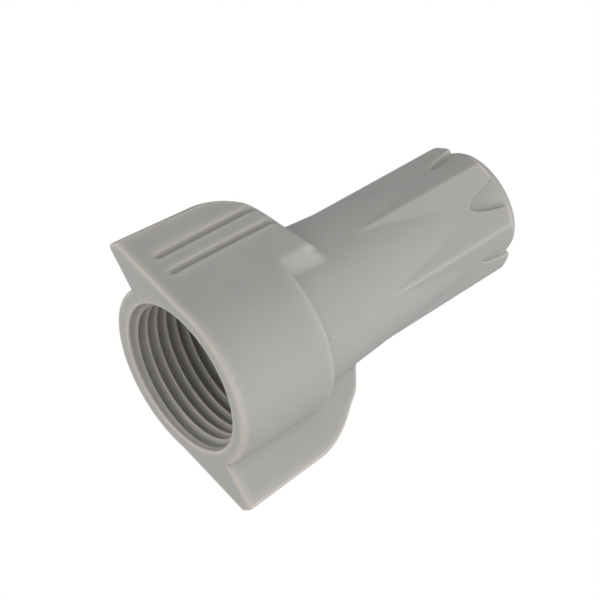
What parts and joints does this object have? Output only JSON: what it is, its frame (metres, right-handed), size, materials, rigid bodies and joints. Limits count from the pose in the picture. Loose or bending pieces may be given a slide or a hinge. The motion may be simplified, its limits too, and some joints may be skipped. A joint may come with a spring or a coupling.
{
  "type": "twist-on wire connector",
  "caption": "Winged twist-on connector for joining electrical wires: tapered moulded shell with a threaded mouth, ribbed finger wings and a conical wire spring inside.",
  "frame": {"origin": "centre of the flat mouth face that the wires enter", "axes": "+Z runs along the connector's axis from the mouth to the closed nose, +X points at the tip of one wing, and +Y completes a right-handed frame"},
  "size_m": [0.0292, 0.0194, 0.0393],
  "materials": {
    "shell_plastic": "fine satin moulded surface",
    "spring_steel": "bright zinc-plated drawn wire"
  },
  "bodies": {
    "root": {"shell": "shell_plastic", "spring": "spring_steel"}
  },
  "joints": []
}
